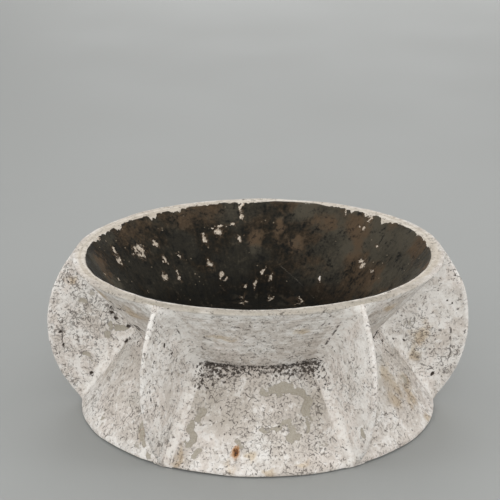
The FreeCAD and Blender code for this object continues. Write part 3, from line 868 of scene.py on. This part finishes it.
def make_bowl_wall():
    grid = turned(walk([
        (bowl_radius(FLOOR_UNDER), FLOOR_UNDER, COARSE),
        (bowl_radius(WAIST_HEIGHT - 0.010), WAIST_HEIGHT - 0.010, GRAIN),
        (bowl_radius(BAND_FOOT), BAND_FOOT, COARSE),
        (bowl_radius(BAND_FOOT, WALL), BAND_FOOT, COARSE),
        (bowl_radius(FLOOR_UNDER, WALL), FLOOR_UNDER, COARSE),
    ]))
    points = flat(grid)
    marks = weather(points)
    amount = uneven(points) + marks["streak"] * 0.00035 - pit_depth(points, marks) - hole_depth(marks)
    piece = new_piece("bowl_wall_limed", [pushed(grid, True, amount)], True, marks)
    dress(piece, LIMEWASH, "cement", "bowl_wall")


def make_skirt():
    bevel = BED + 2 * GAP
    corners = [(BASE_RADIUS - BASE_HOLLOW, 0, 0.003)]
    corners += rounded(BASE_RADIUS - BASE_ROUND, BASE_CLEAR + BASE_ROUND, -70, 0, BASE_ROUND)
    corners += [(BASE_RADIUS, BASE_LAND, GRAIN)]
    corners += [(*waist_point(bevel, 0), COARSE), (*waist_point(bevel, SKIRT), COARSE)]
    corners += [(skirt_radius(0, SKIRT), 0, 0.005)]
    grid = turned(walk(corners))
    points = flat(grid)
    marks = weather(points)
    height = points[:, 2]
    outside = smooth(-0.012, -0.004, from_axis(points) - outer_radius(height))
    flaked = smooth(0.22, 0.36, marks["bare"]) * 0.0006
    chips = dents(points, 0.030, 0.16, 95) * smooth(0.012, 0.004, height) * 0.003
    sunk = pit_depth(points, marks) + flaked + chips + hole_depth(marks)
    panel = smooth(0.055, 0.085, height) * smooth(0.150, 0.120, height)
    marks["raw_and_shade"] = np.maximum(1 - outside, panel * (0.30 + 0.5 * fractal(points, 0.05, 99)))
    grid = pushed(grid, True, uneven(points) - sunk * outside)
    piece = new_piece("skirt_limed", [settle(grid)], True, marks)
    dress(piece, LIMEWASH, "cement", "skirt")


def make_waist_bed():
    far, face = BED + GAP, 0.0010
    corners = [(far, face), (GAP, face), (GAP, SKIRT), (far, SKIRT)]
    grid = turned(walk([(*waist_point(*corner), 0.002) for corner in corners]))
    points = flat(grid)
    marks = weather(points)
    # More soil and painted shade right in the crease.
    marks["soil_and_shade"] = np.clip(marks["soil_and_shade"] * 1.3, 0, 1)
    lumps = fractal(points, 0.006, 101) * 0.0009 + uneven(points)
    piece = new_piece("waist_bed_mortar", [pushed(grid, True, lumps)], True, marks)
    dress(piece, LIMEWASH, "mortar", "waist_bed")


def stand(grid, bearing):
    """A grid of (outward, aside, height) set out along a bearing in degrees from +X."""
    turn = math.radians(bearing)
    outward, aside = grid[..., 0], grid[..., 1]
    x = outward * math.cos(turn) - aside * math.sin(turn)
    y = outward * math.sin(turn) + aside * math.cos(turn)
    return np.stack([x, y, grid[..., 2]], axis=2)


def fin_bend(outward, height, seed):
    """A fin laid by hand isn't quite flat: how far it leans aside."""
    return 0.0022 * np.sin(height * 14 + seed * 1.7) * smooth(0.23, 0.40, outward)


def wall_at(aside, height):
    """The wall's distance out from the axis, at a distance aside from a fin's middle."""
    return np.sqrt(outer_radius(height) ** 2 - aside ** 2)


def make_fin(side, bearing, seed):
    heights = np.linspace(FIN_FOOT, FIN_TIP, FIN_ROWS)
    rows = []
    for height in heights:
        crest = float(crest_radius(height))
        wall = float(wall_at(FIN_HALF, height)) - 0.0015
        bead = min(0.005, (crest - wall) * 0.6)
        arc = np.linspace(0, math.pi / 2, 6)
        face = np.linspace(crest - bead, wall, FACE_STEPS)[1:]
        share = (face - wall) / (crest - bead - wall)
        tip = FIN_HALF - FIN_TAPER
        half = FIN_HALF - FIN_TAPER * share
        outward = np.concatenate([crest - bead + bead * np.cos(arc), face])
        aside = np.concatenate([tip * np.sin(arc), half])
        outward = np.concatenate([outward, outward[:0:-1]])
        aside = np.concatenate([aside, -aside[:0:-1]])
        rows.append(np.stack([outward, aside, np.full(len(outward), height)], axis=1))
    grid = np.array(rows)
    depth_in = crest_radius(grid[..., 2]) - grid[..., 0]
    grid[..., 1] += fin_bend(grid[..., 0], grid[..., 2], seed)
    grid = stand(grid, bearing)
    points = flat(grid)
    marks = weather(points)
    edge = smooth(0.0068, 0.003, depth_in).ravel()
    line_wide = smooth(0.0060, 0.0008, depth_in).ravel()
    # Painted highlight: a whiter line along the crest and a whiter flare where the fin meets the rim, partly
    # a real wiped wash.
    upper = 0.22 + 0.12 * smooth(0.20, 0.29, points[:, 2]) + 0.7 * fractal(points, 0.022, 113)
    flare = smooth(0.270, 0.302, points[:, 2]) * smooth(0.045, 0.010, depth_in).ravel()
    marks["wiped_and_highlight"] = np.clip(line_wide * upper + 0.5 * flare, 0, 1)
    # Painted shade: a thin darker line just behind the crest bead on both faces, kept in the soil mark.
    crest_shade = smooth(0.006, 0.009, depth_in).ravel() * smooth(0.016, 0.010, depth_in).ravel()
    marks["soil_and_shade"] = np.maximum(marks["soil_and_shade"], 0.17 * crest_shade * (0.6 + fractal(points, 0.02, 115)))
    share = np.clip(marks["pits"] - 0.10, 0, 1) * 0.75 * (1 - edge)
    depth = dents(points, PIT_CELL, share, 91) * 0.0013
    flaked = smooth(0.22, 0.36, marks["bare"]) * 0.0005
    nicks = dents(points, 0.024, 0.10, 97) * edge * 0.0016
    amount = uneven(points) - depth - flaked - nicks - hole_depth(marks) - 0.0012 * edge
    piece = new_piece(f"fin_{side}_limed", [settle(pushed(grid, False, amount))], False, marks)
    dress(piece, LIMEWASH, "cement", f"fin_{side}")


def make_coves(side, bearing, seed):
    heights = np.linspace(FIN_FOOT + 0.001, FIN_TIP - 0.0006, COVE_ROWS)
    on_wall = np.interp(heights, COVE_HEIGHTS, COVE_ON_WALL)
    on_face = np.interp(heights, COVE_HEIGHTS, COVE_ON_FACE)
    on_face = np.minimum(on_face, 0.72 * (crest_radius(heights) - outer_radius(heights)))
    turn = np.linspace(0, math.pi / 2, COVE_STEPS)
    grids = []
    spans = []
    for hand in (1, -1):
        order = slice(None, None, -hand)
        rows = []
        for height, leg, foot in zip(heights, on_face, on_wall):
            aside = FIN_HALF - 0.0004 + foot * (1 - np.sin(turn))
            outward = wall_at(aside, height) + leg * (1 - np.cos(turn)) - 0.0003
            back_aside = [FIN_HALF - 0.002, FIN_HALF - 0.002, aside[0] - 0.001]
            back_outward = [outward[-1] - 0.001, wall_at(FIN_HALF, height) - 0.003, outward[0] - 0.003]
            aside = np.concatenate([aside, back_aside])[order] * hand
            outward = np.concatenate([outward, back_outward])[order]
            rows.append(np.stack([outward, aside, np.full(len(outward), height)], axis=1))
        grid = np.array(rows)
        grid[..., 1] += fin_bend(grid[..., 0], grid[..., 2], seed)
        grids.append(stand(grid, bearing))
        span = np.concatenate([np.linspace(0, 1, COVE_STEPS), [0, 0, 0]])
        spans.append(np.tile(span[order], COVE_ROWS))
    points = np.concatenate([flat(grid) for grid in grids])
    marks = weather(points)
    span = np.concatenate(spans)
    # Painted light in the coves: a whiter band across each cove and a whiter flare near the rim, partly a
    # real wiped wash.
    wiped_and_highlight = smooth(0.0, 0.22, span) * smooth(1.0, 0.70, span) * (0.75 + 0.35 * fractal(points, 0.05, 111))
    flare = smooth(0.264, 0.298, points[:, 2]) * smooth(0.10, 0.60, span)
    marks["wiped_and_highlight"] = np.clip(wiped_and_highlight + 0.8 * flare, 0, 1)
    # Painted light in the hollows: less soil in the coves, and fewer pits and less wear high up.
    marks["soil_and_shade"] = marks["soil_and_shade"] * 0.75
    calm_and_lit = smooth(0.185, 0.235, points[:, 2])
    marks["pits"] = marks["pits"] * (1 - 0.8 * calm_and_lit)
    marks["worn"] = marks["worn"] * (0.75 - 0.4 * calm_and_lit)
    amounts = np.split(uneven(points) - hole_depth(marks), 2)
    grids = [settle(pushed(grid, False, amount)) for grid, amount in zip(grids, amounts)]
    piece = new_piece(f"coves_{side}_limed", grids, False, marks)
    dress(piece, LIMEWASH, "mortar", f"coves_{side}")


# Where the coat is chipped to the pale cement, where it is thin, and where it is scratched.
CHIPS = on_walls(40, [
    (-122.5, 283, 261, 19, 15), (-133, 286, 264, 10, 9), (-109, 298, 278, 7, 10), (-107, 288, 266, 7, 11),
    (-106, 323, 308, 6, 5), (-161, 293, 272, 9, 2.6), (-165, 294, 273, 15, 3.4), (-169, 295, 274, 14, 3.6),
    (-163.5, 283, 261, 11, 9), (-156, 276, 252, 10, 11), (-172.5, 273, 249, 6, 7), (-142, 261, 235, 8, 5),
    (-133.5, 257, 231, 7, 7), (-156, 239, 210, 7, 10), (-127.5, 236, 206, 9, 8), (-137, 232, 202, 7, 13),
    (-160, 218, 187, 7, 9), (-162.5, 215, 181, 6, 6), (-178, 202, 168, 3, 13), (-172.5, 202, 167, 5, 5),
    (-170, 184, 147, 6, 4), (171, 184, 147, 7, 3.5), (152, 185, 148, 6, 4), (-86, 291, 269, 6, 5),
    (-94, 271, 247, 7, 7), (-110, 230, 200, 5, 5), (126.5, 263, 239, 7, 9), (124.5, 256, 229, 7, 10),
    (116, 257, 231, 9, 5), (136.5, 305, 286, 6, 5), (134, 305, 286, 5, 5), (134, 320, 303, 9, 5),
    (145.5, 322, 306, 5, 5), (123.5, 286, 264, 8, 5), (177, 223, 192, 4, 9), (173.5, 213, 181, 5, 6),
    (145, 219, 187, 5, 5), (-174, 317, 302, 4.5, 16), (-174, 302, 284, 3, 11), (20, 280, 252, 12, 7),
    (48, 250, 222, 9, 12), (-34, 292, 268, 16, 6), (-66, 262, 238, 8, 9), (4, 214, 182, 10, 6),
    (80, 240, 214, 8, 7),
])
THIN = on_walls(60, [
    (135, 273, 249, 50, 40), (108, 246, 218, 46, 40), (170.5, 289, 267, 16, 30), (163, 266, 241, 30, 20),
    (-179, 270, 246, 20, 36), (-91, 301, 281, 46, 34), (-86, 277, 254, 46, 44), (122, 300, 282, 36, 28),
    (-168, 184, 148, 20, 7), (160, 185, 148, 34, 7), (40, 270, 240, 60, 40), (-20, 280, 250, 70, 30),
    (80, 300, 280, 60, 30),
])
SCRATCH = [(168, 231, 201), (157, 212, 179), (143.5, 192, 156)]


def coat_marks(points):
    lumps = fractal(points, 0.010, 121) * 0.5
    ragged = warped(points, 0.012, 0.010)
    height = points[:, 2]
    strokes = about_axis(points, 55, height / 0.045)
    left = smooth(0.10, -0.25, points[:, 0])
    # Painted light: the coat is drawn a lighter brown towards the right and high on the far wall, along with
    # the real thin patches.
    right = 0.50 * smooth(0.02, 0.20, points[:, 0]) * (0.8 + 0.8 * fractal(points, 0.05, 143))
    high = 0.40 * smooth(0.262, 0.295, height) * smooth(0.0, 0.2, points[:, 1])
    high = high * (0.6 + fractal(points, 0.05, 145))
    return {
        "chip": blots(ragged, lumps, CHIPS),
        "thin": np.clip(np.maximum(blots(ragged, lumps, THIN), right + high), 0, 1),
        "brush": fractal(strokes + 80, 1.0, 127, 3),
        "fleck": np.clip(0.03 + 0.10 * left + 0.20 * fractal(points, 0.05, 129), 0, 1),
        "scratch": line(points, SCRATCH, 0.0030),
        "darker_low": smooth(0.215, 0.150, height),
    }


def make_coat_wall():
    """The coat ends in a ragged brushed edge at the lip, and laps over it in places on the far side."""
    foot = FLOOR_TOP + 2 * GAP + COAT
    turn = np.arange(AROUND) * 2 * math.pi / AROUND
    ends = np.stack([np.sin(turn), -np.cos(turn), turn * 0], axis=1) * 0.3
    far = smooth(-0.05, 0.25, ends[:, 1])
    torn = fractal(ends, 0.022, 131) + 0.45 * fractal(ends, 0.006, 135, 2) + 0.35 * noise(ends, 0.09, 139)
    notch = np.clip(torn - 0.14, 0, 1) * 0.014
    over = smooth(16, 7, np.abs(np.degrees(turn) - 166)) * 0.0012
    lapped = np.clip(0.05 - torn, 0, 0.5) * 0.0022
    edge = LIP - 0.0004 + np.where(over > 0.0002, over, (lapped - notch) * (0.2 + 0.8 * far))
    shares = np.linspace(0, 1, 84)
    rows = []
    for inward, order in ((GAP, [0.0, 0.97, 1.0]), (GAP + COAT, shares[::-1])):
        for share in order:
            height = foot + (edge - foot) * share
            radius = lining_radius(height, inward)
            rows.append(np.stack([radius * np.sin(turn), -radius * np.cos(turn), height], axis=1))
    grid = np.array(rows)
    points = flat(grid)
    marks = coat_marks(points)
    brushed = fractal(points, 0.014, 141) * 0.0007
    amount = brushed - 0.0012 * smooth(0.2, 0.5, marks["chip"])
    amount = amount.reshape(grid.shape[:2])
    amount[:3] = 0
    piece = new_piece("coat_wall_brushed", [pushed(grid, True, amount)], True, marks)
    dress(piece, BITUMEN, "bitumen", "coat_wall")


def make_coat_floor():
    under = FLOOR_TOP + GAP
    top = under + COAT
    hole = DRAIN_RADIUS + 0.003
    grid = turned(walk([
        (hole, under, COARSE),
        (bowl_radius(under, WALL + GAP), under, COARSE),
        (bowl_radius(top, WALL + GAP), top, 0.003),
        (hole, top, COARSE),
    ]), 420)
    points = flat(grid)
    marks = coat_marks(points)
    radius = from_axis(points)
    marks["thin"] = np.clip(marks["thin"] + 0.6 * smooth(0.05, 0.02, radius), 0, 1)
    ragged = fractal(points, 0.009, 151) * 0.0016 * smooth(0.03, 0.019, radius)
    amount = fractal(points, 0.02, 155) * 0.0008 * smooth(under, top, points[:, 2]) + ragged
    piece = new_piece("coat_floor_brushed", [pushed(grid, True, amount)], True, marks)
    dress(piece, BITUMEN, "bitumen", "coat_floor")


def make_bowl_floor():
    edge = WALL + GAP
    grid = turned(walk([
        (DRAIN_RADIUS, FLOOR_UNDER, 0.004),
        (bowl_radius(FLOOR_UNDER, edge), FLOOR_UNDER, COARSE),
        (bowl_radius(FLOOR_TOP, edge), FLOOR_TOP, COARSE),
        (DRAIN_RADIUS, FLOOR_TOP, 0.004),
    ]), 360)
    points = flat(grid)
    amount = uneven(points) * 0.6 - dents(points, 0.016, 0.3, 161) * 0.0012
    amount *= smooth(FLOOR_TOP, FLOOR_TOP - 0.003, points[:, 2])
    amount *= smooth(0.185, 0.15, from_axis(points))
    piece = new_piece("bowl_floor_cast", [pushed(grid, True, amount)], True, {})
    dress(piece, RAW_CEMENT, "cement", "bowl_floor")


def make_nail():
    """The rusted end of a nail, with a crust where it meets the skirt."""
    turn = math.radians(NAIL_BEARING)
    out = np.array([math.cos(turn), math.sin(turn), 0])
    aside = np.array([-math.sin(turn), math.cos(turn), 0])
    axis = (out + np.array([0, 0, SKIRT_SLOPE])) / SKIRT_SPREAD
    up = np.cross(axis, aside)
    middle = out * skirt_radius(NAIL_HEIGHT) + np.array([0, 0, NAIL_HEIGHT])
    path = [(-SKIRT, 0.0026), (-0.004, 0.0026), (-0.001, 0.0029), (0.0004, 0.0046)]
    path += [(0.0014, 0.0042), (0.0024, 0.0034), (0.0030, 0.0018), (0.0031, 0.0004)]
    rows = []
    around = np.arange(28) * 2 * math.pi / 28
    for along, radius in path:
        ring = np.cos(around)[:, None] * aside * 0.8 + np.sin(around)[:, None] * up * 1.25
        rows.append(middle + axis * along + ring * radius)
    grid = np.array(rows)
    grid = pushed(grid, False, fractal(flat(grid), 0.004, 171) * 0.0007)
    piece = new_piece("nail_rusted", [grid], False, {})
    dress(piece, rusted_iron(), "nail", "nail")


def make_stage():
    half_size, drop, count = 14.0, 0.0004, 9
    steps = np.linspace(-half_size, half_size, count)
    points = [(x, y, -drop) for y in steps for x in steps]
    corners = [row * count + column for row in range(count - 1) for column in range(count - 1)]
    faces = [(corner, corner + 1, corner + count + 1, corner + count) for corner in corners]
    mesh = bpy.data.meshes.new("studio_floor")
    mesh.from_pydata(points, [], faces)
    mesh.materials.append(studio_floor())
    floor = bpy.data.objects.new("studio_floor", mesh)
    bpy.context.scene.collection.objects.link(floor)


def add_light(name, spot, turn, size, power):
    lamp = bpy.data.lights.new(name, "AREA")
    lamp.shape = "SQUARE"
    lamp.size = size
    lamp.energy = power
    light = bpy.data.objects.new(name, lamp)
    light.location = spot
    light.rotation_euler = [math.radians(angle) for angle in turn]
    bpy.context.scene.collection.objects.link(light)


def light_studio():
    add_light("overhead", (0.0, -0.3, 2.9), (0, 0, 0), 3.2, 20)
    add_light("front", (-0.6, -7.6, 2.4), (74, 0, -5), 5.2, 212)
    add_light("left", (-7.2, -2.8, 2.4), (74, 0, -69), 4.4, 134)
    add_light("right", (7.2, -2.8, 2.4), (74, 0, 69), 4.4, 152)
    add_light("rear", (0.6, 7.6, 2.4), (74, 0, 180), 4.4, 90)
    world = bpy.data.worlds.new("studio")
    world.use_nodes = True
    sky = world.node_tree.nodes["Background"]
    sky.inputs["Color"].default_value = (1.0, 0.99, 0.975, 1)
    sky.inputs["Strength"].default_value = 0.66
    bpy.context.scene.world = world


def place_camera():
    lens = bpy.data.cameras.new("photo_view")
    lens.sensor_width = 36
    lens.lens = 108.41
    camera = bpy.data.objects.new("photo_view", lens)
    camera.location = (-0.0153, -2.7143, 1.1890)
    camera.rotation_euler = (math.radians(72.006), 0, 0)
    bpy.context.scene.collection.objects.link(camera)
    bpy.context.scene.camera = camera


make_rim_band()
make_bowl_wall()
make_skirt()
make_waist_bed()
for number, fin_side in enumerate(FIN_SIDES):
    fin_bearing = number * 360 / len(FIN_SIDES)
    make_fin(fin_side, fin_bearing, number)
    make_coves(fin_side, fin_bearing, number)
make_coat_wall()
make_coat_floor()
make_bowl_floor()
make_nail()
make_stage()
light_studio()
place_camera()
bpy.context.scene.view_settings.view_transform = "Standard"
